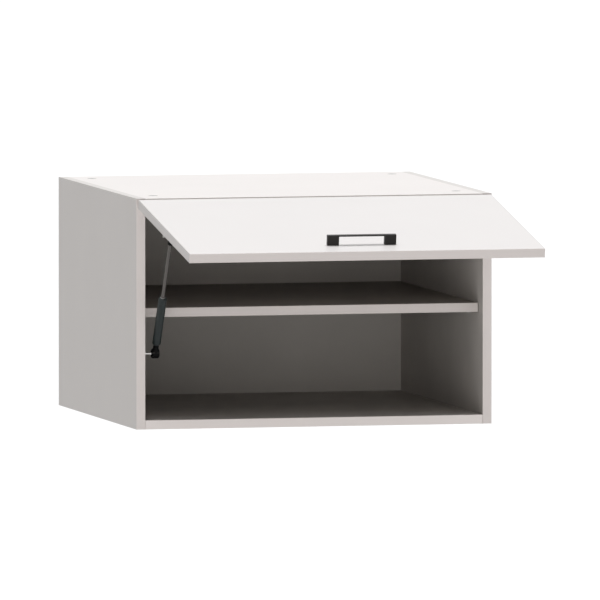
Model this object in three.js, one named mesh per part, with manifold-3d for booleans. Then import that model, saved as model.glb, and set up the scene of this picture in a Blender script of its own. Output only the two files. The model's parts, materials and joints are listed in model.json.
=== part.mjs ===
// A wall cabinet with one top-hinged lift-up door, held open by a single gas strut.
// Millimetres. X is to the right, Y goes into the cabinet, Z is up.
// The origin is the centre of the carcass underside. The door stands at its open stop.

import * as THREE from 'three';
import { mergeVertices } from 'three/addons/utils/BufferGeometryUtils.js';
import Module from 'manifold-3d';

const manifoldLibrary = await Module();
manifoldLibrary.setup();

// ---------------------------------------------------------------- driving dimensions

const WIDTH = 600;
const DEPTH = 572;
const HEIGHT = 380;
const BOARD = 15;
const BAND = 1;
const BACK_THICKNESS = 3;
const BACK_INSET = 2;

const SHELF_SETBACK = 30;
const SHELF_REAR_GAP = 3;
const SHELF_END_GAP = 1;

const DOOR_WIDTH = 596;
const DOOR_HEIGHT = 375.5;
const DOOR_GAP = 3;
const DOOR_TOP_DROP = 2.7;
const DOOR_OPEN_DEG = 80;
const PIVOT_FORWARD = 11.2;
const PIVOT_DROP = 9.6;

const GAP = 0.3;
const OVERSHOOT = 1;
const FASTENER_SIDES = 12;
const ROUND_SIDES = 24;

const CAM_DIAMETER = 15;
const CAM_HEIGHT = 12.5;
const CAM_FROM_SIDE = 44;
const CAM_FRONT_DEPTH = 69;
const CAM_REAR_DEPTH = 517;

const PIN_DIAMETER = 5;
const PIN_BORE_DEPTH = 10;
const PIN_FRONT_DEPTH = 80;
const PIN_REAR_DEPTH = 528;

const HINGE_X = 190;
const CUP_DIAMETER = 35;
const CUP_DEPTH = 12;
const CUP_WALL = 0.8;
const CUP_FROM_DOOR_TOP = 20.5;
const CUP_FLANGE = 1;

const STRUT_X = -264;
const STRUT_STUD_DEPTH = 20;
const STRUT_STUD_Z = 123.5;
const STRUT_DOOR_OFFSET = 20.5;
const STRUT_DOOR_DROP = 101.5;
const CYLINDER_DIAMETER = 14;
const CYLINDER_START = 18.5;
const CYLINDER_LENGTH = 93;
const ROD_DIAMETER = 6;
const ROD_LENGTH = 111.3;
const SOCKET_WIDTH = 13;
const SOCKET_RADIUS = 8;
const SOCKET_CHAMFER = 1.8;
const SOCKET_SHOULDER = 6.6;
const SOCKET_SHOULDER_END = 6;
const SOCKET_NECK_RADIUS = 4.5;
const SOCKET_TAPER_END = 10.2;
const SOCKET_NECK_END = CYLINDER_START - GAP;
const BALL_DIAMETER = 8;
const STUD_NECK = 3.2;
const COLLAR_DIAMETER = 5.6;
const COLLAR_LENGTH = 2;
const COLLAR_END = 7.2;

const HANDLE_LENGTH = 115;
const HANDLE_FOOT = 19;
const HANDLE_DEPTH = 8;
const HANDLE_PROJECTION = 16.5;
const HANDLE_BAR = 2;
const HANDLE_FROM_EDGE = 46;
const HANDLE_HOLES = 96;
const BUMPER_FROM_EDGE = 16;

const HANGER_WIDTH = 20;
const HANGER_LENGTH = 46;
const HANGER_HEIGHT = 52;

// ---------------------------------------------------------------- places worked out from them

const HALF_WIDTH = WIDTH / 2;
const INNER_X = HALF_WIDTH - BOARD;
const FRONT_Y = -DEPTH / 2;
const BACK_Y = DEPTH / 2;
const BOARD_FRONT_Y = FRONT_Y + BAND;
const SHELF_TOP = (HEIGHT + BOARD) / 2;
const SHELF_BOTTOM = SHELF_TOP - BOARD;
const PIVOT_Y = FRONT_Y - PIVOT_FORWARD;
const PIVOT_Z = HEIGHT - PIVOT_DROP;
const DOOR_OPEN = THREE.MathUtils.degToRad(DOOR_OPEN_DEG);

// The door's own frame has its origin on the pivot axis and is upright when the door is shut.
const DOOR_INNER_Y = PIVOT_FORWARD - DOOR_GAP;
const DOOR_OUTER_Y = DOOR_INNER_Y - BOARD;
const DOOR_TOP_Z = PIVOT_DROP - DOOR_TOP_DROP;
const DOOR_BOTTOM_Z = DOOR_TOP_Z - DOOR_HEIGHT;

// ---------------------------------------------------------------- materials

const FINISHES = {
  exterior: { color: 0xefecea, roughness: 0.45, metalness: 0 },
  interior: { color: 0x54504c, roughness: 0.6, metalness: 0 },
  edge: { color: 0xd6cfca, roughness: 0.4, metalness: 0 },
  black: { color: 0x26241f, roughness: 0.5, metalness: 0.3 },
  steel: { color: 0xb9bbbd, roughness: 0.3, metalness: 1 },
  zinc: { color: 0xa7a9aa, roughness: 0.45, metalness: 0.9 },
  cylinder: { color: 0x2f3434, roughness: 0.35, metalness: 0.4 },
  plastic: { color: 0x151515, roughness: 0.5, metalness: 0 },
  whitePlastic: { color: 0xe8e6e1, roughness: 0.5, metalness: 0 },
  clearRubber: { color: 0xd9dcdb, roughness: 0.4, metalness: 0 },
};

function part(name, finish, geometry) {
  const mesh = new THREE.Mesh(geometry, new THREE.MeshStandardMaterial(FINISHES[finish]));
  mesh.name = name;
  return mesh;
}

// ---------------------------------------------------------------- shapes

function block(x0, x1, y0, y1, z0, z1) {
  const geometry = new THREE.BoxGeometry(x1 - x0, y1 - y0, z1 - z0);
  return geometry.translate((x0 + x1) / 2, (y0 + y1) / 2, (z0 + z1) / 2);
}

// A turned piece: [radius, station] pairs along +Y, closed at both ends on the axis.
function turned(profile, sides) {
  const points = profile.map(([radius, station]) => new THREE.Vector2(radius, station));
  return new THREE.LatheGeometry(points, sides);
}

function rod(diameter, start, end, sides) {
  const radius = diameter / 2;
  return turned([[0, start], [radius, start], [radius, end], [0, end]], sides);
}

// Turns a +Y piece so that it runs along +X, or along -X for a negative direction.
function alongX(geometry, direction) {
  return geometry.rotateZ(-direction * Math.PI / 2);
}

// Turns a +Y piece so that it runs along +Z, or along -Z for a negative direction.
function alongZ(geometry, direction) {
  return geometry.rotateX(direction * Math.PI / 2);
}

// A plate: an outline of [y, z] points carried from x0 to x1.
function plate(outline, x0, x1) {
  const shape = new THREE.Shape(outline.map(([y, z]) => new THREE.Vector2(y, z)));
  const geometry = new THREE.ExtrudeGeometry(shape, { depth: x1 - x0, bevelEnabled: false });
  const yzToXyz = new THREE.Matrix4().set(0, 0, 1, x0, 1, 0, 0, 0, 0, 1, 0, 0, 0, 0, 0, 1);
  return geometry.applyMatrix4(yzToXyz);
}

function toSolid(geometry) {
  const bare = geometry.clone();
  bare.deleteAttribute('normal');
  bare.deleteAttribute('uv');
  const merged = mergeVertices(bare, 1e-4);
  return new manifoldLibrary.Manifold(new manifoldLibrary.Mesh({
    numProp: 3,
    vertProperties: new Float32Array(merged.attributes.position.array),
    triVerts: new Uint32Array(merged.index.array),
  }));
}

function toGeometry(solid) {
  const mesh = solid.getMesh();
  const geometry = new THREE.BufferGeometry();
  geometry.setAttribute('position', new THREE.BufferAttribute(mesh.vertProperties, 3));
  geometry.setIndex(new THREE.BufferAttribute(mesh.triVerts, 1));
  const flat = geometry.toNonIndexed();
  flat.computeVertexNormals();
  return flat;
}

function cut(geometry, tools) {
  const solid = tools.reduce((left, tool) => left.subtract(toSolid(tool)), toSolid(geometry));
  return toGeometry(solid);
}

function join(geometries) {
  const solid = geometries.map(toSolid).reduce((whole, piece) => whole.add(piece));
  return toGeometry(solid);
}

// ---------------------------------------------------------------- carcass fasteners

// Each cam site is a corner joint: side is -1 or 1, level is -1 (bottom panel) or 1 (top panel).
const CAM_SITES = [];
for (const [levelName, level] of [['top', 1], ['bottom', -1]]) {
  for (const [sideName, side] of [['left', -1], ['right', 1]]) {
    for (const [rowName, depth] of [['front', CAM_FRONT_DEPTH], ['rear', CAM_REAR_DEPTH]]) {
      CAM_SITES.push({
        name: `${levelName}_${sideName}_${rowName}`,
        level,
        side,
        x: side * (HALF_WIDTH - CAM_FROM_SIDE),
        y: FRONT_Y + depth,
        face: level > 0 ? HEIGHT : 0,
        boltZ: level > 0 ? HEIGHT - BOARD / 2 : BOARD / 2,
      });
    }
  }
}

const BOLT_SHAFT = 6;
const BOLT_NECK = 4;
const BOLT_HEAD = 6.6;
const BOLT_HEAD_LENGTH = 3;
const BOLT_NECK_LENGTH = 5;
const BOLT_IN_SIDE = 11;
const BOLT_LENGTH = BOLT_IN_SIDE + CAM_FROM_SIDE - BOARD;

function camPocket(site) {
  const pocket = rod(CAM_DIAMETER + 2 * GAP, -CAM_HEIGHT - GAP, OVERSHOOT, ROUND_SIDES);
  return alongZ(pocket, site.level).translate(site.x, site.y, site.face);
}

function boltBore(site) {
  const start = -BOLT_IN_SIDE - GAP;
  const bore = rod(BOLT_SHAFT + 2 * GAP, start, BOLT_LENGTH - BOLT_IN_SIDE, FASTENER_SIDES);
  return alongX(bore, -site.side).translate(site.side * INNER_X, site.y, site.boltZ);
}

// A drum with a cross-shaped driver recess and a channel for the bolt's head.
function cam(site) {
  const recess = 2;
  const arm = 3.5;
  const slot = 0.7;
  const channelClearance = 0.5;
  const drum = rod(CAM_DIAMETER, -CAM_HEIGHT, 0, ROUND_SIDES);
  const crossA = block(-arm, arm, -recess, OVERSHOOT, -slot, slot);
  const crossB = block(-slot, slot, -recess, OVERSHOOT, -arm, arm);
  const body = alongZ(cut(drum, [crossA, crossB]), site.level).translate(site.x, site.y, site.face);
  const channelEnd = BOLT_HEAD_LENGTH / 2 + 2 * channelClearance;
  const channelDiameter = BOLT_HEAD + 2 * channelClearance;
  const channel = rod(channelDiameter, -CAM_DIAMETER, channelEnd, FASTENER_SIDES);
  alongX(channel, -site.side).translate(site.x, site.y, site.boltZ);
  return part(`cam_${site.name}`, 'zinc', cut(body, [channel]));
}

function camBolt(site) {
  const tip = BOLT_LENGTH - BOLT_IN_SIDE + BOLT_HEAD_LENGTH / 2;
  const neckEnd = tip - BOLT_HEAD_LENGTH;
  const neckStart = neckEnd - BOLT_NECK_LENGTH;
  const bolt = turned([
    [0, -BOLT_IN_SIDE],
    [BOLT_SHAFT / 2, -BOLT_IN_SIDE],
    [BOLT_SHAFT / 2, neckStart],
    [BOLT_NECK / 2, neckStart],
    [BOLT_NECK / 2, neckEnd],
    [BOLT_HEAD / 2, neckEnd],
    [BOLT_HEAD / 2, tip],
    [0, tip],
  ], FASTENER_SIDES);
  alongX(bolt, -site.side).translate(site.side * INNER_X, site.y, site.boltZ);
  return part(`cam_bolt_${site.name}`, 'steel', bolt);
}

const PIN_SITES = [];
for (const [sideName, side] of [['left', -1], ['right', 1]]) {
  for (const [rowName, depth] of [['front', PIN_FRONT_DEPTH], ['rear', PIN_REAR_DEPTH]]) {
    PIN_SITES.push({ name: `${sideName}_${rowName}`, side, y: FRONT_Y + depth });
  }
}
const PIN_CLEARANCE = 0.1;
const PIN_Z = SHELF_BOTTOM - PIN_DIAMETER / 2 - PIN_CLEARANCE;

function pinBore(site) {
  const bore = rod(PIN_DIAMETER + 2 * GAP, -PIN_BORE_DEPTH - GAP, OVERSHOOT, FASTENER_SIDES);
  return alongX(bore, -site.side).translate(site.side * INNER_X, site.y, PIN_Z);
}

function shelfPin(site) {
  const collarEnd = 0.8;
  const reach = 8;
  const radius = PIN_DIAMETER / 2;
  const collarRadius = radius + 1;
  const pin = turned([
    [0, -PIN_BORE_DEPTH],
    [radius, -PIN_BORE_DEPTH],
    [radius, PIN_CLEARANCE],
    [collarRadius, PIN_CLEARANCE],
    [collarRadius, collarEnd],
    [radius, collarEnd],
    [radius, reach],
    [0, reach],
  ], FASTENER_SIDES);
  alongX(pin, -site.side).translate(site.side * INNER_X, site.y, PIN_Z);
  return part(`shelf_pin_${site.name}`, 'steel', pin);
}

// ---------------------------------------------------------------- carcass boards

function carcassBoards() {
  const parts = [];
  for (const [name, side] of [['left', -1], ['right', 1]]) {
    const outer = side * HALF_WIDTH;
    const inner = side * INNER_X;
    const x0 = Math.min(outer, inner);
    const x1 = Math.max(outer, inner);
    const bolts = CAM_SITES.filter((site) => site.side === side).map(boltBore);
    const pins = PIN_SITES.filter((site) => site.side === side).map(pinBore);
    const board = cut(block(x0, x1, BOARD_FRONT_Y, BACK_Y, 0, HEIGHT), [...bolts, ...pins]);
    parts.push(part(`side_panel_${name}`, 'exterior', board));
    parts.push(part(`side_band_${name}`, 'edge', block(x0, x1, FRONT_Y, BOARD_FRONT_Y, 0, HEIGHT)));
  }
  for (const [name, level, z0] of [['top', 1, HEIGHT - BOARD], ['bottom', -1, 0]]) {
    const sites = CAM_SITES.filter((site) => site.level === level);
    const tools = [...sites.map(camPocket), ...sites.map(boltBore)];
    const board = block(-INNER_X, INNER_X, BOARD_FRONT_Y, BACK_Y, z0, z0 + BOARD);
    parts.push(part(`${name}_panel`, name === 'top' ? 'exterior' : 'interior', cut(board, tools)));
    const band = block(-INNER_X, INNER_X, FRONT_Y, BOARD_FRONT_Y, z0, z0 + BOARD);
    parts.push(part(`${name}_band`, 'edge', band));
  }
  return parts;
}

function shelf() {
  const half = INNER_X - SHELF_END_GAP;
  const front = FRONT_Y + SHELF_SETBACK;
  const rear = BACK_Y - SHELF_REAR_GAP;
  return [
    part('shelf', 'interior', block(-half, half, front + BAND, rear, SHELF_BOTTOM, SHELF_TOP)),
    part('shelf_band', 'edge', block(-half, half, front, front + BAND, SHELF_BOTTOM, SHELF_TOP)),
  ];
}

// ---------------------------------------------------------------- back and wall hangers

const HOOK_THICKNESS = 2.5;
const HOOK_BODY = [12, 30];
const HOOK_NOSE_Z = 42;
const HANGER_TOP = HEIGHT - BOARD - 2;
const WINDOW_MARGIN = 2;

function hookX(side) {
  return side * (INNER_X - HANGER_WIDTH / 2);
}

function backPanel() {
  const half = HALF_WIDTH - BACK_INSET;
  const rear = BACK_Y + BACK_THICKNESS;
  const board = block(-half, half, BACK_Y, rear, BACK_INSET, HEIGHT - BACK_INSET);
  const low = HANGER_TOP - HANGER_HEIGHT + HOOK_BODY[0] - WINDOW_MARGIN;
  const high = HANGER_TOP - HANGER_HEIGHT + HOOK_NOSE_Z + WINDOW_MARGIN;
  const windows = [-1, 1].map((side) => {
    const x = hookX(side);
    const reach = HOOK_THICKNESS / 2 + WINDOW_MARGIN;
    return block(x - reach, x + reach, BACK_Y - OVERSHOOT, rear + OVERSHOOT, low, high);
  });
  return part('back_panel', 'interior', cut(board, windows));
}

// The casing is a shell on the side panel, open to the rear, that the flat hook slides in.
function wallHanger(sideName, side) {
  const wall = 2;
  const x = hookX(side);
  const base = HANGER_TOP - HANGER_HEIGHT;
  const front = BACK_Y - HANGER_LENGTH;
  const inner = HANGER_WIDTH / 2;
  const shell = block(x - inner, x + inner, front, BACK_Y, base, HANGER_TOP);
  const hollow = block(x - inner + wall, x + inner - wall, front + wall, BACK_Y + OVERSHOOT,
    base + wall, HANGER_TOP - wall);
  const casing = part(`hanger_casing_${sideName}`, 'whitePlastic', cut(shell, [hollow]));
  const hookFront = front + 12;
  const hookRear = BACK_Y + BACK_THICKNESS - 0.5;
  const noseFront = BACK_Y;
  const [low, high] = HOOK_BODY;
  const outline = [
    [hookFront, base + low],
    [hookRear, base + low],
    [hookRear, base + HOOK_NOSE_Z],
    [noseFront, base + HOOK_NOSE_Z],
    [noseFront, base + high],
    [hookFront, base + high],
  ];
  const half = HOOK_THICKNESS / 2;
  const hook = part(`hanger_hook_${sideName}`, 'zinc', plate(outline, x - half, x + half));
  return [casing, hook];
}

// ---------------------------------------------------------------- hinges, carcass side

// The gooseneck passes under the top panel, enters the cup and rises to the pivot pin.
const ARM_HALF = 4;
const ARM_UNDERSIDE = 15.5;
const ARM_TOP = 9.6;
const ARM_EYE = 2.2;
const ARM_NECK_REAR = 2.3;
const ARM_NECK_CORNER = 6;
const ARM_STEP = 4;
const ARM_PIN_PLAY = 0.4;
const HINGE_PIN = 2.6;
const HINGE_PIN_HALF = 7;
const PLATE_FRONT = 22;
const PLATE_REAR = 54;
const PLATE_HALF = 9;
const PLATE_SHORT = 2;
const PLATE_EAR_HALF = 18;
const PLATE_EAR_FRONT = 31;
const PLATE_EAR_REAR = 43;
const PLATE_TOP = HEIGHT - BOARD - PIVOT_Z;
const PLATE_THICKNESS = 3;
const PLATE_EAR_THICKNESS = 2;

function hingeArm(name, x) {
  const eye = rod(2 * ARM_EYE, -ARM_HALF, ARM_HALF, FASTENER_SIDES);
  alongX(eye, 1);
  const rear = PIVOT_FORWARD + PLATE_REAR;
  const underPlate = PLATE_TOP - PLATE_THICKNESS - GAP;
  const gooseneck = plate([
    [-ARM_EYE, 0],
    [-ARM_EYE, -ARM_UNDERSIDE],
    [rear, -ARM_UNDERSIDE],
    [rear, underPlate],
    [PIVOT_FORWARD + PLATE_FRONT - ARM_STEP, underPlate],
    [PIVOT_FORWARD + ARM_NECK_CORNER, -ARM_TOP],
    [ARM_NECK_REAR, -ARM_TOP],
    [ARM_NECK_REAR, 0],
  ], -ARM_HALF, ARM_HALF);
  const holeHalf = ARM_HALF + OVERSHOOT;
  const pinHole = rod(HINGE_PIN + ARM_PIN_PLAY, -holeHalf, holeHalf, FASTENER_SIDES);
  alongX(pinHole, 1);
  const arm = cut(join([gooseneck, eye]), [pinHole]);
  arm.translate(x, PIVOT_Y, PIVOT_Z);
  return part(`hinge_arm_${name}`, 'steel', arm);
}

function hingePlate(name, x) {
  const top = HEIGHT - BOARD;
  const base = block(-PLATE_HALF, PLATE_HALF, PLATE_FRONT, PLATE_REAR - PLATE_SHORT,
    top - PLATE_THICKNESS, top);
  const ears = block(-PLATE_EAR_HALF, PLATE_EAR_HALF, PLATE_EAR_FRONT, PLATE_EAR_REAR,
    top - PLATE_EAR_THICKNESS, top);
  const body = join([base, ears]);
  body.translate(x, FRONT_Y, 0);
  return part(`hinge_plate_${name}`, 'steel', body);
}

// ---------------------------------------------------------------- hinges, door side

const CUP_CENTRE_Z = DOOR_TOP_Z - CUP_FROM_DOOR_TOP;
const CUP_PIN_PLAY = 0.3;

function cupBore(x) {
  const bore = rod(CUP_DIAMETER + 2 * GAP, -OVERSHOOT, CUP_DEPTH + GAP, ROUND_SIDES);
  return bore.rotateX(Math.PI).translate(x, DOOR_INNER_Y, CUP_CENTRE_Z);
}

// The cup opens towards -Y here and is turned over into the door. Two cheeks hold the pin.
function hingeCup(name, x) {
  const radius = CUP_DIAMETER / 2;
  const wingHalf = 27;
  const wingFront = -2;
  const rimWidth = 1;
  const cheekInner = ARM_HALF + 0.6;
  const cheekEnd = CUP_CENTRE_Z + 3;
  const face = -CUP_FLANGE - GAP;
  const shell = rod(CUP_DIAMETER, -GAP, CUP_DEPTH, ROUND_SIDES);
  const wings = block(-wingHalf, wingHalf, face, -GAP, wingFront, radius);
  const rim = rod(CUP_DIAMETER + 2 * rimWidth, face, -GAP, ROUND_SIDES);
  const well = rod(CUP_DIAMETER - 2 * CUP_WALL, face - OVERSHOOT, CUP_DEPTH - CUP_WALL, ROUND_SIDES);
  const cheeks = [-1, 1].map((side) => {
    const x0 = side > 0 ? cheekInner : -radius;
    return block(x0, x0 + radius - cheekInner, -radius, radius, -radius, cheekEnd);
  });
  const holeHalf = HINGE_PIN_HALF + CUP_PIN_PLAY;
  const pinHole = rod(HINGE_PIN + CUP_PIN_PLAY, -holeHalf, holeHalf, FASTENER_SIDES);
  alongX(pinHole, 1).translate(0, DOOR_INNER_Y, CUP_CENTRE_Z);
  const body = cut(join([shell, wings, rim]), [cut(well, cheeks), pinHole]);
  body.rotateX(Math.PI).translate(x, DOOR_INNER_Y, CUP_CENTRE_Z);
  return part(`hinge_cup_${name}`, 'steel', body);
}

function hingePin(name, x) {
  const pin = rod(HINGE_PIN, -HINGE_PIN_HALF, HINGE_PIN_HALF, FASTENER_SIDES);
  return part(`hinge_pin_${name}`, 'steel', alongX(pin, 1).translate(x, 0, 0));
}

// ---------------------------------------------------------------- door

const HANDLE_Z = DOOR_BOTTOM_Z + HANDLE_FROM_EDGE;
const SCREW_DIAMETER = 4;
const SCREW_HOLE = SCREW_DIAMETER + 2 * GAP;
const SCREW_IN_HANDLE = 10;

function doorBoard() {
  const half = DOOR_WIDTH / 2;
  const inset = BAND + GAP / 3;
  const board = block(-half + inset, half - inset, DOOR_OUTER_Y, DOOR_INNER_Y,
    DOOR_BOTTOM_Z + inset, DOOR_TOP_Z - inset);
  const screwHoles = [-1, 1].map((side) => {
    const hole = rod(SCREW_HOLE, -OVERSHOOT, BOARD + OVERSHOOT, FASTENER_SIDES);
    return hole.translate(side * HANDLE_HOLES / 2, DOOR_OUTER_Y, HANDLE_Z);
  });
  const cups = [-HINGE_X, HINGE_X].map(cupBore);
  return part('door_board', 'exterior', cut(board, [...screwHoles, ...cups]));
}

function doorBands() {
  const half = DOOR_WIDTH / 2;
  const [y0, y1, z0, z1] = [DOOR_OUTER_Y, DOOR_INNER_Y, DOOR_BOTTOM_Z, DOOR_TOP_Z];
  const clear = GAP / 3;
  return [
    part('door_band_top', 'edge', block(-half, half, y0, y1, z1 - BAND, z1)),
    part('door_band_bottom', 'edge', block(-half, half, y0, y1, z0, z0 + BAND)),
    part('door_band_left', 'edge',
      block(-half, -half + BAND, y0, y1, z0 + BAND + clear, z1 - BAND - clear)),
    part('door_band_right', 'edge',
      block(half - BAND, half, y0, y1, z0 + BAND + clear, z1 - BAND - clear)),
  ];
}

// Two square feet carry a thin flat bar; a screw from behind the door enters each foot.
function handle() {
  const half = HANDLE_LENGTH / 2;
  const face = DOOR_OUTER_Y - GAP;
  const outer = face - HANDLE_PROJECTION;
  const z0 = HANDLE_Z - HANDLE_DEPTH / 2;
  const z1 = HANDLE_Z + HANDLE_DEPTH / 2;
  const bar = block(-half, half, outer, outer + HANDLE_BAR, z0, z1);
  const feet = [-1, 1].map((side) => {
    const inner = side * (half - HANDLE_FOOT);
    const x0 = Math.min(side * half, inner);
    return block(x0, x0 + HANDLE_FOOT, outer, face, z0, z1);
  });
  const holes = [-1, 1].map((side) => {
    const hole = rod(SCREW_HOLE, -SCREW_IN_HANDLE - OVERSHOOT, OVERSHOOT, FASTENER_SIDES);
    return hole.translate(side * HANDLE_HOLES / 2, face, HANDLE_Z);
  });
  return part('handle', 'black', cut(join([bar, ...feet]), holes));
}

function handleScrew(name, side) {
  const headHeight = 2;
  const reach = BOARD + SCREW_IN_HANDLE;
  const shankRadius = SCREW_DIAMETER / 2;
  const headRadius = SCREW_DIAMETER;
  const screw = turned([
    [0, -GAP - headHeight],
    [headRadius, -GAP - headHeight],
    [headRadius, -GAP],
    [shankRadius, -GAP],
    [shankRadius, reach],
    [0, reach],
  ], FASTENER_SIDES);
  screw.rotateX(Math.PI).translate(side * HANDLE_HOLES / 2, DOOR_INNER_Y, HANDLE_Z);
  return part(`handle_screw_${name}`, 'steel', screw);
}

// Soft pads near the door's lower corners keep its inner face off the carcass edge.
function doorBumper(name, side) {
  const thickness = DOOR_GAP - 2 * GAP;
  const radius = 4;
  const bevel = 0.7;
  const pad = turned([
    [0, 0],
    [radius, 0],
    [radius, thickness - bevel],
    [radius - bevel, thickness],
    [0, thickness],
  ], FASTENER_SIDES);
  const x = side * (DOOR_WIDTH / 2 - BOARD / 2);
  pad.translate(x, DOOR_INNER_Y + GAP, DOOR_BOTTOM_Z + BUMPER_FROM_EDGE);
  return part(`door_bumper_${name}`, 'clearRubber', pad);
}

// ---------------------------------------------------------------- gas strut

// A ball on a short neck along +X, centred on the origin, its neck starting at station -start.
function ballOnNeck(start) {
  const ball = BALL_DIAMETER / 2;
  const neck = STUD_NECK / 2;
  const steps = 6;
  const first = Math.asin(neck / ball);
  const profile = [[0, -start], [neck, -start]];
  for (let i = 0; i <= steps; i += 1) {
    const angle = first + (Math.PI - first) * (i / steps);
    profile.push([i < steps ? ball * Math.sin(angle) : 0, -ball * Math.cos(angle)]);
  }
  return alongX(turned(profile, FASTENER_SIDES), 1);
}

// The stud's foot on the left side panel ends in a collar just short of the socket.
function sideStud() {
  const thickness = 2;
  const halfDepth = 8;
  const halfHeight = 17;
  const wallX = -INNER_X - STRUT_X;
  const stemStart = wallX + thickness / 2;
  const collarStart = -COLLAR_END - COLLAR_LENGTH;
  const base = block(wallX, wallX + thickness, -halfDepth, halfDepth, -halfHeight, halfHeight);
  const stem = turned([
    [0, stemStart],
    [STUD_NECK / 2, stemStart],
    [STUD_NECK / 2, collarStart],
    [COLLAR_DIAMETER / 2, collarStart],
    [COLLAR_DIAMETER / 2, -COLLAR_END],
    [0, -COLLAR_END],
  ], FASTENER_SIDES);
  const body = join([base, alongX(stem, 1)]);
  body.translate(STRUT_X, FRONT_Y + STRUT_STUD_DEPTH, STRUT_STUD_Z);
  return part('strut_side_stud', 'steel', body);
}

// A socket around a ball at the origin, opening towards -X, its neck narrowing along +Y.
function ballSocket() {
  const half = SOCKET_WIDTH / 2;
  const neckStart = 1;
  const barrel = turned([
    [0, -half],
    [SOCKET_RADIUS - SOCKET_CHAMFER, -half],
    [SOCKET_RADIUS, -half + SOCKET_CHAMFER],
    [SOCKET_RADIUS, half - SOCKET_CHAMFER],
    [SOCKET_RADIUS - SOCKET_CHAMFER, half],
    [0, half],
  ], ROUND_SIDES);
  alongX(barrel, 1);
  const neck = turned([
    [0, neckStart],
    [SOCKET_SHOULDER, neckStart],
    [SOCKET_SHOULDER, SOCKET_SHOULDER_END],
    [SOCKET_NECK_RADIUS, SOCKET_TAPER_END],
    [SOCKET_NECK_RADIUS, SOCKET_NECK_END],
    [0, SOCKET_NECK_END],
  ], ROUND_SIDES);
  const mouthEnd = BALL_DIAMETER / 2 + GAP;
  const mouth = rod(2 * mouthEnd, -half - OVERSHOOT, mouthEnd, FASTENER_SIDES);
  alongX(mouth, 1);
  return { body: join([barrel, neck]), mouth };
}

// The strut's frame has its origin at the side ball and +Y along the strut, towards the door.
const STUD_POINT = new THREE.Vector3(STRUT_X, FRONT_Y + STRUT_STUD_DEPTH, STRUT_STUD_Z);
const DOOR_BALL = new THREE.Vector3(STRUT_X, DOOR_INNER_Y + STRUT_DOOR_OFFSET, DOOR_TOP_Z - STRUT_DOOR_DROP);
const STRUT_END = DOOR_BALL.clone().applyAxisAngle(new THREE.Vector3(1, 0, 0), -DOOR_OPEN);
STRUT_END.add(new THREE.Vector3(0, PIVOT_Y, PIVOT_Z));
const STRUT_LINE = STRUT_END.clone().sub(STUD_POINT);
const STRUT_LENGTH = STRUT_LINE.length();
const ROD_END = STRUT_LENGTH - SOCKET_NECK_END - GAP;
const CYLINDER_WALL = 1.2;
const CYLINDER_BASE = 3.5;
const GLAND_LENGTH = 3;
const PISTON_LENGTH = 3;

function lowerBall() {
  return part('strut_lower_ball', 'steel', ballOnNeck(COLLAR_END - GAP));
}

function lowerSocket() {
  const { body, mouth } = ballSocket();
  return part('strut_lower_socket', 'plastic', cut(body, [mouth]));
}

function upperSocket() {
  const { body, mouth } = ballSocket();
  const socket = cut(body, [mouth]);
  socket.rotateX(Math.PI).translate(0, STRUT_LENGTH, 0);
  return part('strut_upper_socket', 'plastic', socket);
}

function strutCylinder() {
  const start = CYLINDER_START;
  const end = CYLINDER_START + CYLINDER_LENGTH;
  const radius = CYLINDER_DIAMETER / 2;
  const endRadius = radius - 1.6;
  const baseTaper = 2;
  const crimp = 3;
  const glandStart = end - GLAND_LENGTH;
  const shell = turned([
    [0, start],
    [endRadius, start],
    [radius, start + baseTaper],
    [radius, end - crimp],
    [endRadius, end],
    [0, end],
  ], ROUND_SIDES);
  const bore = rod(CYLINDER_DIAMETER - 2 * CYLINDER_WALL, start + CYLINDER_BASE, glandStart, ROUND_SIDES);
  const gland = rod(ROD_DIAMETER + 2 * GAP, glandStart - OVERSHOOT, end + OVERSHOOT, ROUND_SIDES);
  return part('strut_cylinder', 'cylinder', cut(shell, [bore, gland]));
}

function strutRod() {
  const inner = ROD_END - ROD_LENGTH;
  const piston = CYLINDER_DIAMETER / 2 - CYLINDER_WALL - GAP;
  const body = turned([
    [0, inner],
    [piston, inner],
    [piston, inner + PISTON_LENGTH],
    [ROD_DIAMETER / 2, inner + PISTON_LENGTH],
    [ROD_DIAMETER / 2, ROD_END],
    [0, ROD_END],
  ], ROUND_SIDES);
  return part('strut_rod', 'steel', body);
}

// A foot plate on the door's inner face, an upright ear and the ball stud that the ear carries.
function doorBracket() {
  const earX = -14;
  const thickness = 2;
  const footWidth = 26;
  const footHalf = 18;
  const earRoot = 9;
  const earTip = 3;
  const earWaist = STRUT_DOOR_OFFSET - 3;
  const earEnd = STRUT_DOOR_OFFSET + earTip;
  const foot = block(earX, earX + footWidth, GAP, GAP + thickness, -footHalf, footHalf);
  const ear = plate([
    [GAP, -earRoot],
    [earWaist, -earTip],
    [earEnd, -earTip],
    [earEnd, earTip],
    [earWaist, earTip],
    [GAP, earRoot],
  ], earX, earX + thickness);
  const collar = rod(COLLAR_DIAMETER, earX + thickness / 2, -COLLAR_END, FASTENER_SIDES);
  const stud = join([alongX(collar, 1), ballOnNeck(COLLAR_END + thickness / 2)]);
  stud.translate(0, STRUT_DOOR_OFFSET, 0);
  const body = join([foot, ear, stud]);
  body.translate(STRUT_X, DOOR_INNER_Y, DOOR_TOP_Z - STRUT_DOOR_DROP);
  return part('strut_door_bracket', 'steel', body);
}

// ---------------------------------------------------------------- assembly

const HINGES = [['left', -HINGE_X], ['right', HINGE_X]];
const SIDES = [['left', -1], ['right', 1]];

const carcass = new THREE.Group();
carcass.add(...carcassBoards(), ...shelf(), backPanel());
carcass.add(...CAM_SITES.map(cam), ...CAM_SITES.map(camBolt), ...PIN_SITES.map(shelfPin));
SIDES.forEach(([name, side]) => carcass.add(...wallHanger(name, side)));
HINGES.forEach(([name, x]) => carcass.add(hingeArm(name, x), hingePlate(name, x)));
carcass.add(sideStud());

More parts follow.
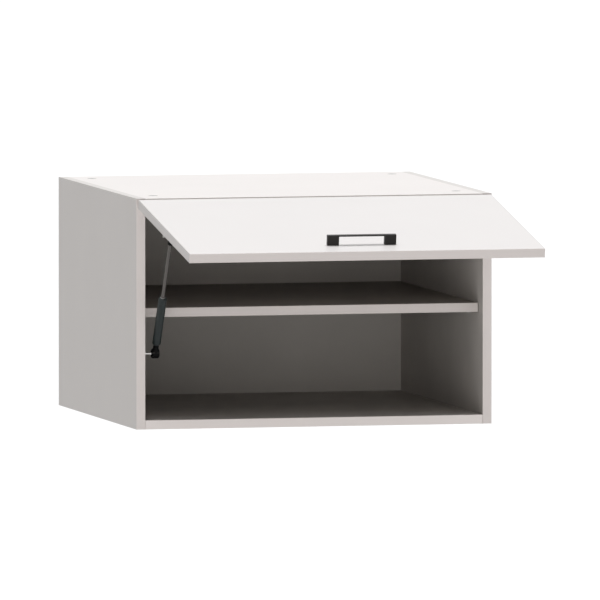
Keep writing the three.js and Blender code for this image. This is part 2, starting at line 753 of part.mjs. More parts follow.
const door = new THREE.Group();
door.position.set(0, PIVOT_Y, PIVOT_Z);
door.rotation.x = -DOOR_OPEN;
door.add(doorBoard(), ...doorBands(), handle(), doorBracket());
HINGES.forEach(([name, x]) => door.add(hingeCup(name, x), hingePin(name, x)));
SIDES.forEach(([name, side]) => door.add(handleScrew(name, side), doorBumper(name, side)));

const strut = new THREE.Group();
strut.position.copy(STUD_POINT);
strut.rotation.x = Math.atan2(STRUT_LINE.z, STRUT_LINE.y);
strut.add(lowerBall(), lowerSocket(), strutCylinder(), strutRod(), upperSocket());

const cabinet = new THREE.Group();
cabinet.add(carcass, door, strut);

export default cabinet;
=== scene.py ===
"""The looks of a wall cabinet with a lift-up door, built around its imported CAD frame.

Lengths are metres; MM turns millimetres into metres. X is to the right, Y goes into the cabinet
and Z is up. At rest the door stands at its open stop.
"""

import json
import math

import bmesh
import bpy
from mathutils import Matrix, Vector

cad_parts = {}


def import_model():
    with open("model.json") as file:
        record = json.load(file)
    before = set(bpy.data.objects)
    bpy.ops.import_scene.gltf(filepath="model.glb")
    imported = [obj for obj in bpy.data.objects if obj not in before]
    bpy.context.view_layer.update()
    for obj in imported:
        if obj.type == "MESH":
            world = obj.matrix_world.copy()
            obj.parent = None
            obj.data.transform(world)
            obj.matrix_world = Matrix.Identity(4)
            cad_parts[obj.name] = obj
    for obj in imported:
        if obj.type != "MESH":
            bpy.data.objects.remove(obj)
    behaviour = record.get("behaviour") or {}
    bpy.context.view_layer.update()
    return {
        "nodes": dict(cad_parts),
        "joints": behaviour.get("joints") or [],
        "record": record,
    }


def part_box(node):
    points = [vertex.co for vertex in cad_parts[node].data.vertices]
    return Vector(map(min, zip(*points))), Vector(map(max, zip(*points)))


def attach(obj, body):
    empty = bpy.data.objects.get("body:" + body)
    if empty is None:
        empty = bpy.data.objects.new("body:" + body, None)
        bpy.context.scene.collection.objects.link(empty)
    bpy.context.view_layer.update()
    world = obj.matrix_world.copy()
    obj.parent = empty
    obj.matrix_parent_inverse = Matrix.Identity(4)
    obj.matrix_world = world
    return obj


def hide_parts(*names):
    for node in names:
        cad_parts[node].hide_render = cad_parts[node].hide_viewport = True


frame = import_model()

MM = 0.001
FINE_SIDES = 64
SMALL_SIDES = 32
BOARD_EDGE = 0.25 * MM
BAND_EDGE = 0.45 * MM
BAND_SEAM = 0.35 * MM
CUTTER_SPARE = 1 * MM
FIT_GAP = 0.3 * MM
SHARP_ANGLE = math.radians(36)

SIDES = {"left": -1, "right": 1}
LEVELS = {"top": 1, "bottom": -1}
ROWS = ("front", "rear")

BODY_OF = {node: body for body, nodes in frame["record"]["behaviour"]["bodies"].items() for node in nodes}
JOINTS = {joint["name"]: joint for joint in frame["joints"]}


# -------------------------------- local frames

def centre_of(node):
    low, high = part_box(node)
    return (low + high) / 2


PIVOT = Vector(JOINTS["door_swing"]["pos_m"])
DOOR_ANGLE = -math.radians(JOINTS["door_swing"]["range_deg"][1])
DOOR = Matrix.Translation(PIVOT) @ Matrix.Rotation(DOOR_ANGLE, 4, "X")

STRUT_TOP = Vector(JOINTS["strut_rod_pivot"]["pos_m"])
STRUT_FOOT = centre_of("strut_lower_ball")
STRUT_FOOT.x = STRUT_TOP.x
STRUT_LINE = STRUT_TOP - STRUT_FOOT
STRUT = Matrix.Translation(STRUT_FOOT) @ Matrix.Rotation(math.atan2(STRUT_LINE.z, STRUT_LINE.y), 4, "X")


def local_box(node, place):
    """The lowest and highest corners of a node in a local frame."""
    inverse = place.inverted()
    corners = [inverse @ vertex.co for vertex in frame["nodes"][node].data.vertices]
    low = Vector([min(corner[axis] for corner in corners) for axis in range(3)])
    high = Vector([max(corner[axis] for corner in corners) for axis in range(3)])
    return low, high


def local_centre(node, place):
    low, high = local_box(node, place)
    return (low + high) / 2


# -------------------------------- materials

class Finish:
    """A Principled material of one record slot, with short calls for the nodes that vary it."""

    def __init__(self, name, slot, **sockets):
        self.slot = slot
        self.material = bpy.data.materials.new(name)
        self.material.use_nodes = True
        self.tree = self.material.node_tree
        self.surface = self.tree.nodes["Principled BSDF"]
        for socket, value in sockets.items():
            self.surface.inputs[socket.replace("_", " ")].default_value = value
        self.place = self.add("ShaderNodeTexCoord").outputs["Object"]

    def add(self, kind, inputs=None, **settings):
        node = self.tree.nodes.new(kind)
        for key, value in settings.items():
            setattr(node, key, value)
        for key, value in (inputs or {}).items():
            if isinstance(value, bpy.types.NodeSocket):
                self.tree.links.new(value, node.inputs[key])
            else:
                node.inputs[key].default_value = value
        return node

    def stretched(self, stretch):
        if stretch is None:
            return self.place
        return self.add("ShaderNodeMapping", {"Vector": self.place, "Scale": stretch}).outputs["Vector"]

    def noise(self, per_metre, stretch=None, detail=4.0, rough=0.55):
        inputs = {"Vector": self.stretched(stretch), "Scale": per_metre}
        inputs |= {"Detail": detail, "Roughness": rough}
        return self.add("ShaderNodeTexNoise", inputs).outputs["Fac"]

    def flakes(self, per_metre, stretch):
        inputs = {"Vector": self.stretched(stretch), "Scale": per_metre}
        return self.add("ShaderNodeTexVoronoi", inputs)

    def lines(self, per_metre, direction):
        inputs = {"Vector": self.place, "Scale": per_metre, "Distortion": 0.0}
        return self.add("ShaderNodeTexWave", inputs, bands_direction=direction).outputs["Fac"]

    def between(self, value, low, high, start=0.3, end=0.7):
        inputs = {"Value": value, "From Min": start, "From Max": end, "To Min": low, "To Max": high}
        return self.add("ShaderNodeMapRange", inputs).outputs["Result"]

    def ramp(self, value, stops):
        node = self.add("ShaderNodeValToRGB", {"Fac": value})
        elements = node.color_ramp.elements
        while len(elements) < len(stops):
            elements.new(0.5)
        for element, (position, color) in zip(elements, stops):
            element.position = position
            element.color = (*color, 1.0)
        return node.outputs["Color"]

    def speckled(self, base, fleck, factor):
        node = self.add("ShaderNodeMix", data_type="RGBA", blend_type="MULTIPLY")
        node.inputs["Factor"].default_value = factor
        self.tree.links.new(base, node.inputs[6])
        self.tree.links.new(fleck, node.inputs[7])
        return node.outputs[2]

    def sum(self, first, second, weight):
        inputs = {0: second, 1: weight, 2: first}
        return self.add("ShaderNodeMath", inputs, operation="MULTIPLY_ADD").outputs[0]

    def colour(self, socket):
        self.tree.links.new(socket, self.surface.inputs["Base Color"])
        return self

    def roughness(self, socket):
        self.tree.links.new(socket, self.surface.inputs["Roughness"])
        return self

    def relief(self, height, depth, strength=1.0):
        bump = self.add("ShaderNodeBump", {"Height": height, "Distance": depth, "Strength": strength})
        self.tree.links.new(bump.outputs["Normal"], self.surface.inputs["Normal"])
        return self


def shade_of(color, factor):
    return tuple(min(1.0, channel * factor) for channel in color)


def tones(color, dark, light, stops):
    """Ramp stops from a darker shade of a colour through the colour to a lighter shade."""
    shades = (shade_of(color, dark), color, shade_of(color, light))
    return list(zip(stops, shades))


def pressed_laminate(name, slot, color, contrast, roughness, gloss=0.3):
    """Melamine-faced board: a slow cloudiness, a fine print and the pearl of the press plate."""
    finish = Finish(name, slot, Specular_IOR_Level=gloss)
    cloud = finish.noise(7.0, detail=3.0)
    print_grain = finish.noise(900.0, detail=5.0, rough=0.7)
    tone = finish.sum(cloud, print_grain, 0.6)
    finish.colour(finish.ramp(tone, tones(color, 1 - contrast, 1 + contrast, (0.55, 0.8, 1.05))))
    finish.roughness(finish.between(print_grain, roughness - 0.05, roughness + 0.05))
    pearl = finish.noise(1800.0, detail=2.0)
    return finish.relief(finish.sum(pearl, cloud, 0.5), 0.03 * MM, 0.6)


LIGHT = (0.600, 0.565, 0.547)
# The side panels' outer faces: the pale laminate darkened as painted shade, for faces turned away from the
# top light.
SIDE_SHADED_PALE = (0.49, 0.462, 0.442)
DOOR_LIGHT = (0.595, 0.566, 0.553)
EDGE_LIGHT = (0.600, 0.552, 0.531)
# The door's side edge bands: the edge band darkened as painted shade.
DOOR_SIDE_SHADED_EDGE = (0.475, 0.445, 0.428)
# The shelf's edge band: the edge band darkened as painted shade from the door above.
SHELF_SHADED_EDGE = (0.49, 0.450, 0.430)
# The top panel's edge band: the edge band brightened as painted light, where the gap above the door lets
# light in.
TOP_LIT_EDGE = (0.78, 0.74, 0.71)
# The bottom panel's edge band: the edge band brightened as painted light.
BOTTOM_LIT_EDGE = (0.665, 0.615, 0.592)
GRAPHITE = (0.43, 0.404, 0.378)
# The shelf's faces: the graphite laminate darkened as painted shade from the door above.
SHELF_SHADED_GRAPHITE = (0.2, 0.178, 0.16)
BACK_GRAPHITE = (0.46, 0.434, 0.405)

LAMINATE = pressed_laminate("pale_laminate", "carcass_laminate", LIGHT, contrast=0.012, roughness=0.46)
SIDE_SHADED_LAMINATE = pressed_laminate("pale_side_laminate", "carcass_laminate", SIDE_SHADED_PALE,
                                 contrast=0.012, roughness=0.46)
DOOR_FACE = pressed_laminate("door_laminate", "door_laminate", DOOR_LIGHT, contrast=0.010, roughness=0.42)
DARK = pressed_laminate("graphite_laminate", "dark_laminate", GRAPHITE,
                        contrast=0.07, roughness=0.52, gloss=0.2)
SHELF_SHADED_DARK = pressed_laminate("graphite_shelf_laminate", "dark_laminate", SHELF_SHADED_GRAPHITE,
                              contrast=0.07, roughness=0.55, gloss=0.08)
DARK_BACK = pressed_laminate("graphite_lacquer", "back_hardboard", BACK_GRAPHITE,
                             contrast=0.05, roughness=0.5)


def chipboard():
    finish = Finish("raw_chipboard", "carcass_laminate")
    chips = finish.flakes(420.0, (1.0, 1.0, 2.2))
    dust = finish.noise(2600.0)
    browns = finish.ramp(chips.outputs["Color"], [
        (0.15, (0.16, 0.095, 0.05)), (0.45, (0.34, 0.225, 0.13)), (0.8, (0.52, 0.38, 0.24))])
    greys = finish.ramp(dust, [(0.3, (0.6, 0.6, 0.6)), (0.65, (1.0, 1.0, 1.0))])
    finish.colour(finish.speckled(browns, greys, 0.7))
    finish.roughness(finish.between(dust, 0.75, 0.92))
    return finish.relief(finish.sum(dust, chips.outputs["Distance"], 0.8), 0.25 * MM)


def hardboard_back():
    """The screen side of hardboard: pressed wood fibre with the print of a wire mesh."""
    finish = Finish("hardboard_screen_side", "back_hardboard")
    fibres = finish.noise(260.0, (1.0, 1.0, 5.0), detail=8.0, rough=0.7)
    mottle = finish.noise(40.0)
    mesh = finish.sum(finish.lines(320.0, "X"), finish.lines(320.0, "Z"), 1.0)
    brown = finish.ramp(finish.sum(fibres, mottle, 0.2), [
        (0.4, (0.12, 0.068, 0.036)), (0.6, (0.2, 0.12, 0.064)), (0.8, (0.29, 0.185, 0.105))])
    finish.colour(brown)
    finish.roughness(finish.between(fibres, 0.7, 0.88))
    return finish.relief(finish.sum(fibres, mesh, 0.35), 0.18 * MM)


def edge_band(name, color):
    finish = Finish(name, "edge_band", Specular_IOR_Level=0.35)
    scrape = finish.noise(700.0, (0.04, 1.0, 1.0), detail=3.0)
    cloud = finish.noise(9.0)
    finish.colour(finish.ramp(finish.sum(cloud, scrape, 0.3), [
        (0.4, shade_of(color, 0.985)), (0.9, shade_of(color, 1.012))]))
    finish.roughness(finish.between(scrape, 0.36, 0.46))
    return finish.relief(scrape, 0.02 * MM, 0.6)


def metal(name, slot, color, roughness, per_metre, stretch, depth, metallic=1.0):
    """Metal whose tone, gloss and relief follow one fine grain, with faint handling marks over it."""
    finish = Finish(name, slot, Metallic=metallic, Specular_IOR_Level=0.2)
    grain = finish.noise(per_metre, stretch, detail=5.0)
    marks = finish.noise(160.0, detail=6.0, rough=0.65)
    tone = finish.sum(grain, marks, 0.6)
    finish.colour(finish.ramp(tone, tones(color, 0.82, 1.15, (0.5, 0.8, 1.05))))
    finish.roughness(finish.between(tone, roughness - 0.08, roughness + 0.1, 0.5, 1.1))
    return finish.relief(grain, depth)


def coated(name, slot, color, roughness, per_metre, depth, **sockets):
    """Paint or moulded plastic: an even colour with slight clouds and a fine skin."""
    finish = Finish(name, slot, **sockets)
    skin = finish.noise(per_metre, detail=3.0)
    cloud = finish.noise(60.0, detail=4.0)
    tone = finish.sum(skin, cloud, 0.7)
    finish.colour(finish.ramp(tone, tones(color, 0.8, 1.3, (0.5, 0.85, 1.15))))
    finish.roughness(finish.between(tone, roughness - 0.06, roughness + 0.08, 0.55, 1.15))
    return finish.relief(skin, depth)


CHIPBOARD = chipboard()
HARDBOARD = hardboard_back()
EDGE_BAND = edge_band("satin_edge_band", EDGE_LIGHT)
SHELF_SHADED_BAND = edge_band("satin_shelf_band", SHELF_SHADED_EDGE)
TOP_LIT_BAND = edge_band("satin_top_band", TOP_LIT_EDGE)
BOTTOM_LIT_BAND = edge_band("satin_bottom_band", BOTTOM_LIT_EDGE)
DOOR_SIDE_SHADED_BAND = edge_band("satin_door_side_band", DOOR_SIDE_SHADED_EDGE)

ROLLED = (1.0, 1.0, 6.0)
GROUND_ROUND = (0.1, 1.0, 1.0)
NICKEL = metal("nickel_plated_steel", "nickel_steel", (0.62, 0.61, 0.59),
               roughness=0.28, per_metre=900.0, stretch=ROLLED, depth=0.02 * MM)
BRACKET_STEEL = metal("zinc_plated_bracket", "nickel_steel", (0.3, 0.29, 0.28),
                      roughness=0.36, per_metre=900.0, stretch=ROLLED, depth=0.02 * MM)
ZINC = metal("die_cast_zinc", "zinc", (0.36, 0.355, 0.35),
             roughness=0.42, per_metre=1400.0, stretch=None, depth=0.05 * MM)
CAM_ZINC = metal("oxidised_zinc", "zinc", (0.33, 0.325, 0.32),
                 roughness=0.6, per_metre=1400.0, stretch=None, depth=0.05 * MM, metallic=0.25)
ROD_STEEL = metal("ground_piston_rod", "rod_steel", (0.098, 0.091, 0.086),
                  roughness=0.3, per_metre=1600.0, stretch=GROUND_ROUND, depth=0.01 * MM)
ENAMEL = coated("strut_enamel", "strut_enamel", (0.010, 0.0145, 0.0145),
                roughness=0.34, per_metre=1300.0, depth=0.03 * MM, Specular_IOR_Level=0.25)
BLACK_COAT = coated("black_powder_coat", "black_metal", (0.013, 0.0115, 0.0105),
                    roughness=0.5, per_metre=2200.0, depth=0.06 * MM, Specular_IOR_Level=0.2)
BLACK_PLASTIC = coated("moulded_black_plastic", "black_plastic", (0.003, 0.003, 0.003),
                       roughness=0.5, per_metre=1800.0, depth=0.03 * MM, Specular_IOR_Level=0.05)
WHITE_PLASTIC = coated("moulded_white_plastic", "white_plastic", (0.74, 0.73, 0.7),
                       roughness=0.42, per_metre=1500.0, depth=0.03 * MM)
CLEAR = coated("clear_elastomer", "clear_bumper", (0.72, 0.75, 0.74),
               roughness=0.2, per_metre=700.0, depth=0.03 * MM, Transmission_Weight=0.75, IOR=1.46)


# -------------------------------- shapes

def object_from(work):
    bmesh.ops.recalc_face_normals(work, faces=work.faces)
    mesh = bpy.data.meshes.new("work")
    work.to_mesh(mesh)
    work.free()
    piece = bpy.data.objects.new("work", mesh)
    bpy.context.scene.collection.objects.link(piece)
    return piece


def box_mesh(low, high):
    work = bmesh.new()
    bmesh.ops.create_cube(work, size=1)
    middle, size = (Vector(low) + Vector(high)) / 2, Vector(high) - Vector(low)
    for vertex in work.verts:
        vertex.co = middle + vertex.co * size
    return work


def block(low, high):
    return object_from(box_mesh(low, high))


def turned(profile, sides=FINE_SIDES):
    """A turned piece along +Y from (radius, station) pairs, closed at both ends on the axis."""
    work = bmesh.new()
    rings = []
    for radius, station in profile:
        turns = [2 * math.pi * side / sides for side in range(sides)] if radius else [0.0]
        places = [(radius * math.sin(turn), station, radius * math.cos(turn)) for turn in turns]
        rings.append([work.verts.new(place) for place in places])
    for first, second in zip(rings, rings[1:]):
        for side in range(sides):
            following = (side + 1) % sides
            corners = [first[side % len(first)], first[following % len(first)],
                       second[following % len(second)], second[side % len(second)]]
            corners = list(dict.fromkeys(corners))
            if len(corners) > 2:
                work.faces.new(corners)
    return object_from(work)


def rod(radius, start, end, sides=FINE_SIDES):
    return turned([(0, start), (radius, start), (radius, end), (0, end)], sides)


def chamfered(radius, start, end, chamfer):
    """The profile points of a cylinder that is chamfered at both ends."""
    return [(radius - chamfer, start), (radius, start + chamfer),
            (radius, end - chamfer), (radius - chamfer, end)]


def dome(radius, start, end, steps):
    """The profile points of a quarter oval, all but the one on the axis."""
    turns = [math.pi / 2 * step / steps for step in range(steps)]
    return [(radius * math.cos(turn), start + (end - start) * math.sin(turn)) for turn in turns]


def softened(outline, radius, steps=5):
    """The outline with each corner turned into a short curve."""
    points = [Vector(point) for point in outline]
    curved = []
    for index, corner in enumerate(points):
        before, after = points[index - 1] - corner, points[(index + 1) % len(points)] - corner
        start = corner + before * min(0.5, radius / before.length)
        end = corner + after * min(0.5, radius / after.length)
        for step in range(steps + 1):
            share = step / steps
            curved.append((1 - share) ** 2 * start + 2 * share * (1 - share) * corner + share ** 2 * end)
    return curved


def plate(outline, start, end, plane=(1, 2)):
    """An outline on the two axes that plane numbers, carried along the third."""
    along = 3 - plane[0] - plane[1]
    work = bmesh.new()

    def ring(reach):
        made = []
        for point in outline:
            place = Vector((0, 0, 0))
            place[plane[0]], place[plane[1]], place[along] = point[0], point[1], reach
            made.append(work.verts.new(place))
        return made

    first, second = ring(start), ring(end)
    work.faces.new(first)
    work.faces.new(second)
    for index in range(len(outline)):
        following = (index + 1) % len(outline)
        work.faces.new((first[index], first[following], second[following], second[index]))
    return object_from(work)


def rectangle(low, high):
    return [(low[0], low[1]), (high[0], low[1]), (high[0], high[1]), (low[0], high[1])]


ALONG_X = {-1: Matrix.Rotation(math.pi / 2, 4, "Z"), 1: Matrix.Rotation(-math.pi / 2, 4, "Z")}
ALONG_Z = {-1: Matrix.Rotation(-math.pi / 2, 4, "X"), 1: Matrix.Rotation(math.pi / 2, 4, "X")}
TURN_OVER = Matrix.Rotation(math.pi, 4, "X")


def moved(piece, place):
    piece.data.transform(place)
    return piece


def at(x, y, z):
    return Matrix.Translation((x, y, z))


def settle(piece):
    """Applies the modifiers."""
    graph = bpy.context.evaluated_depsgraph_get()
    mesh = bpy.data.meshes.new_from_object(piece.evaluated_get(graph), depsgraph=graph)
    piece.modifiers.clear()
    piece.data = mesh
    return piece


def combined(piece, tools, operation):
    for tool in tools:
        modifier = piece.modifiers.new("combine", "BOOLEAN")
        modifier.operation = operation
        modifier.solver = "EXACT"
        modifier.object = tool
    settle(piece)
    for tool in tools:
        bpy.data.objects.remove(tool)
    return piece


def cut(piece, tools):
    return combined(piece, tools, "DIFFERENCE")


def join(piece, others):
    return combined(piece, others, "UNION")


def rounded(piece, radius, limit=math.radians(40)):
    bevel = piece.modifiers.new("round", "BEVEL")
    bevel.width = radius
    bevel.segments = 3
    bevel.limit_method = "ANGLE"
    bevel.angle_limit = limit
    return settle(piece)


def gathered(pieces):
    """Several separate solids as one object."""
    work = bmesh.new()
    for piece in pieces:
        work.from_mesh(piece.data)
        bpy.data.objects.remove(piece)
    return object_from(work)


def thread(crest, root, start, end, pitch):
    """The profile points of a threaded stretch."""
    points = []
    for turn in range(int((end - start) / pitch)):
        station = start + turn * pitch
        points += [(root, station), (crest, station + 0.35 * pitch), (crest, station + 0.5 * pitch),
                   (root, station + 0.85 * pitch)]
    return points + [(root, end)]


def screw_head(radius, height):
    """A domed head with a cross recess: it sits on station 0 and its crown looks along +Y."""
    rim = 0.25 * height
    head = turned([(0, 0), (radius, 0), *dome(radius, rim, height, 7), (0, height)], SMALL_SIDES)
    return cut(head, cross(0.58 * radius, 0.13 * radius, 0.3 * height, height + CUTTER_SPARE))


def cross(reach, half, floor_at, top):
    """Two crossed slots, as cutters that look along Y."""
    return [block((-reach, floor_at, -half), (reach, top, half)),
            block((-half, floor_at, -reach), (half, top, reach))]


def shaded(piece):
    """Smooth across fine facets, crisp at real edges, flat on flat faces."""
    piece.data.shade_smooth()
    piece.data.set_sharp_from_angle(angle=SHARP_ANGLE)
    normals = piece.modifiers.new("normals", "WEIGHTED_NORMAL")
    normals.keep_sharp = True
    return settle(piece)


def show(piece, finish, node, name=None, rule=None, others=()):
    """Finishes the piece and lets it ride with its node's body.

    A piece with no name of its own stands for the node. A rule gives the finish's number for each face.
    """
    shaded(piece)
    piece.name = piece.data.name = name or node + "_detail"
    piece.data.materials.clear()
    for each in (finish, *others):
        piece.data.materials.append(each.material)
    for face in piece.data.polygons:
        face.material_index = rule(face.normal, face.center) if rule else 0
    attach(piece, BODY_OF[node])
    if not name:
        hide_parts(node)


def screws(name, node, head, places):
    """Screw heads of one radius and height as a piece of their own, with one at each place."""
    heads = [moved(screw_head(*head), place) for place in places]
    show(gathered(heads), ZINC, node, name)


# -------------------------------- boards

FACING = 0.9
BOLT_RADIUS = 3 * MM
SHELF_PIN_RADIUS = 2.5 * MM
HANDLE_BORE = 2.3 * MM
CUP_RADIUS = 17.5 * MM
CUP_RIM = 18.5 * MM
CUP_Z = local_box("hinge_cup_left", DOOR)[0].z + CUP_RIM
PIVOT_FROM_CUP = -CUP_Z
DOOR_INNER = local_box("door_board", DOOR)[1].y


def rounded_board(low, high, radius, keeps):
    """A board whose edges are rounded where keeps(edge middle) is true."""
    work = box_mesh(low, high)
    edges = [edge for edge in work.edges if keeps((edge.verts[0].co + edge.verts[1].co) / 2)]
    bmesh.ops.bevel(work, geom=edges, offset=radius, segments=3, profile=0.5, affect="EDGES")
    return object_from(work)


def cam_pocket(site, level):
    low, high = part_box("cam_" + site)
    middle = (low + high) / 2
    half = (high.z - low.z) / 2 + FIT_GAP
    spare = CUTTER_SPARE * level
    pocket = moved(rod((high.x - low.x) / 2 + FIT_GAP, -half, half), at(*middle) @ ALONG_Z[1])
    for vertex in pocket.data.vertices:
        outward = (vertex.co.z - middle.z) * level > 0
        vertex.co.z += spare if outward else 0.0
    return pocket


def bore_for(node, radius):
    """The hole that a bolt or pin along X lies in."""
    low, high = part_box(node)
    half = (high.x - low.x) / 2 + FIT_GAP
    bore = rod(radius + FIT_GAP, -half, half, SMALL_SIDES)
    return moved(bore, at(*((low + high) / 2)) @ ALONG_X[1])


def bolt_bore(site):
    return bore_for("cam_bolt_" + site, BOLT_RADIUS)


def side_panel(name, side):
    node = "side_panel_" + name
    low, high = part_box(node)
    panel = rounded_board(low, high, BOARD_EDGE, lambda middle: middle.y > low.y + MM)
    bores = [bolt_bore(f"{level}_{name}_{row}") for level in LEVELS for row in ROWS]
    bores += [bore_for(f"shelf_pin_{name}_{row}", SHELF_PIN_RADIUS) for row in ROWS]
    inner = low.x if side > 0 else high.x

    def rule(normal, centre):
        if normal.y > FACING:
            return 2
        return 1 if -normal.x * side > 0 and abs(centre.x - inner) < (high.x - low.x) / 2 else 0

    # The outer face takes the pale laminate darkened as painted shade.
    show(cut(panel, bores), SIDE_SHADED_LAMINATE, node, rule=rule, others=(DARK, CHIPBOARD))


def flat_panel(name, level):
    node = name + "_panel"
    low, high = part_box(node)
    panel = rounded_board(low, high, BOARD_EDGE, lambda middle: middle.y > low.y + MM)
    tools = []
    for side in SIDES:
        for row in ROWS:
            tools += [cam_pocket(f"{name}_{side}_{row}", level), bolt_bore(f"{name}_{side}_{row}")]

    def rule(normal, centre):
        if normal.y > FACING or abs(normal.x) > FACING:
            return 2
        return 1 if -normal.z * level > 0.5 else 0

    show(cut(panel, tools), LAMINATE, node, rule=rule, others=(DARK, CHIPBOARD))


def band(node, outward, finish=EDGE_BAND, seam=0.0):
    """A thin edge band, rounded along its outer face's edges, that stops a seam short of its neighbours."""
    low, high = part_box(node) if BODY_OF[node] == "carcass" else local_box(node, DOOR)
    low.x += seam
    high.x -= seam
    outward = Vector(outward)
    outer = max(outward.dot(low), outward.dot(high))
    piece = rounded_board(low, high, BAND_EDGE, lambda middle: outward.dot(middle) > outer - 0.1 * MM)
    if BODY_OF[node] != "carcass":
        moved(piece, DOOR)
    show(piece, finish, node)


def shelf():
    low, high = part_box("shelf")
    board = rounded_board(low, high, BOARD_EDGE, lambda middle: middle.y > low.y + MM)
    # The shelf's faces take the graphite laminate darkened as painted shade.
    show(board, SHELF_SHADED_DARK, "shelf", others=(CHIPBOARD,), rule=lambda normal, centre: int(normal.y > FACING))


def back_panel():
    node = "back_panel"
    low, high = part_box(node)
    board = rounded_board(low, high, BOARD_EDGE, lambda middle: True)
    windows = []
    for side in SIDES:
        hook_low, hook_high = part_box("hanger_hook_" + side)
        margin = 2 * MM
        windows.append(block((hook_low.x - margin, low.y - margin, hook_low.z - margin),
                             (hook_high.x + margin, high.y + margin, hook_high.z + margin)))
    show(cut(board, windows), DARK_BACK, node, others=(HARDBOARD,),
         rule=lambda normal, centre: int(centre.y > (low.y + high.y) / 2))


def door_panel():
    node = "door_board"
    low, high = local_box(node, DOOR)
    board = block(low, high)
    tools = []
    for side in SIDES:
        cup_low, cup_high = local_box("hinge_cup_" + side, DOOR)
        screw = local_centre("handle_screw_" + side, DOOR)
        bore = rod(CUP_RADIUS + FIT_GAP, cup_low.y - FIT_GAP, high.y + CUTTER_SPARE)
        tools.append(moved(bore, at((cup_low.x + cup_high.x) / 2, 0, CUP_Z)))
        hole = rod(HANDLE_BORE, low.y - CUTTER_SPARE, high.y + CUTTER_SPARE, SMALL_SIDES)
        tools.append(moved(hole, at(screw.x, 0, screw.z)))
    piece = moved(cut(board, tools), DOOR)
    outward = DOOR.to_3x3() @ Vector((0, 1, 0))
    show(piece, DOOR_FACE, node, others=(CHIPBOARD,),
         rule=lambda normal, centre: int(abs(normal.dot(outward)) < FACING))


for side_name, side_sign in SIDES.items():
    side_panel(side_name, side_sign)
    band("side_band_" + side_name, (0, -1, 0))
for level_name, level_sign in LEVELS.items():
    flat_panel(level_name, level_sign)
# The top band is brightened as painted light; the bottom band too.
band("top_band", (0, -1, 0), TOP_LIT_BAND, BAND_SEAM)
band("bottom_band", (0, -1, 0), BOTTOM_LIT_BAND, BAND_SEAM)
shelf()
# The shelf's edge band is darkened as painted shade.
band("shelf_band", (0, -1, 0), SHELF_SHADED_BAND)
back_panel()
door_panel()
band("door_band_top", (0, 0, 1))
band("door_band_bottom", (0, 0, -1))
# The door's side edges take the edge band darkened as painted shade.
band("door_band_left", (-1, 0, 0), DOOR_SIDE_SHADED_BAND)
band("door_band_right", (1, 0, 0), DOOR_SIDE_SHADED_BAND)


# -------------------------------- carcass fasteners

def cam(site, level, side):
    """A die-cast cam: chamfered drum, cross slot, pointer nicks and the channel that takes the bolt."""
    low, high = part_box("cam_" + site)
    middle, radius = (low + high) / 2, (high.x - low.x) / 2
    half = (high.z - low.z) / 2
    drum = turned([(0, -half), *chamfered(radius, -half, half, 0.5 * MM), (0, half)])
    arm, slot, recess = 3.5 * MM, 0.7 * MM, 2.2 * MM
    nick_length, nick_depth, nick_half = 2 * MM, 0.4 * MM, 0.35 * MM
    top = half + CUTTER_SPARE
    tools = cross(arm, slot, half - recess, top)
    for quarter in range(4):
        nick = block((radius - nick_length, half - nick_depth, -nick_half),
                     (radius + CUTTER_SPARE, top, nick_half))
        tools.append(moved(nick, Matrix.Rotation(math.pi / 4 + quarter * math.pi / 2, 4, "Y")))
    drum = moved(cut(drum, tools), at(*middle) @ ALONG_Z[level])
    channel_radius, channel_end = 3.8 * MM, 2.5 * MM
    channel = rod(channel_radius, -radius - CUTTER_SPARE, channel_end, SMALL_SIDES)
    bolt_height = centre_of("cam_bolt_" + site).z
    channel = moved(channel, at(middle.x, middle.y, bolt_height) @ ALONG_X[-side])
    show(cut(drum, [channel]), CAM_ZINC, "cam_" + site)


def cam_bolt(site, side):
    """A threaded connecting bolt with a turned neck and a head that the cam pulls on."""
    low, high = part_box("cam_bolt_" + site)
    length = high.x - low.x
    head, neck, shaft, root = 3.3 * MM, 2 * MM, BOLT_RADIUS, 2.5 * MM
    head_length, neck_length, chamfer = 3 * MM, 5 * MM, 0.4 * MM
    threaded, pitch = 11 * MM, 1.6 * MM
    neck_start = length - head_length - neck_length
    profile = [(0, 0), *thread(shaft, root, 0.3 * MM, threaded, pitch), (shaft, threaded),
               (shaft, neck_start), (neck, neck_start + chamfer),
               (neck, length - head_length), (head, length - head_length),
               (head, length - chamfer), (head - chamfer, length), (0, length)]
    start = high.x if side > 0 else low.x
    place = at(start, (low.y + high.y) / 2, (low.z + high.z) / 2) @ ALONG_X[-side]
    show(moved(turned(profile, SMALL_SIDES), place), NICKEL, "cam_bolt_" + site)


def shelf_pin(site, side):
    low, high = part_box("shelf_pin_" + site)
    length, radius, collar = high.x - low.x, SHELF_PIN_RADIUS, (high.z - low.z) / 2
    start, chamfer, bevel = 10.1 * MM, 0.5 * MM, 0.2 * MM
    end = start + 0.7 * MM
    profile = [(0, 0), (radius - chamfer, 0), (radius, chamfer), (radius, start), (collar, start),
               (collar, end - bevel), (collar - bevel, end), (radius, end),
               (radius, length - chamfer), (radius - chamfer, length), (0, length)]
    place = at(high.x if side > 0 else low.x, (low.y + high.y) / 2, (low.z + high.z) / 2) @ ALONG_X[-side]
    show(moved(turned(profile, SMALL_SIDES), place), NICKEL, "shelf_pin_" + site)


# -------------------------------- wall hangers and back nails

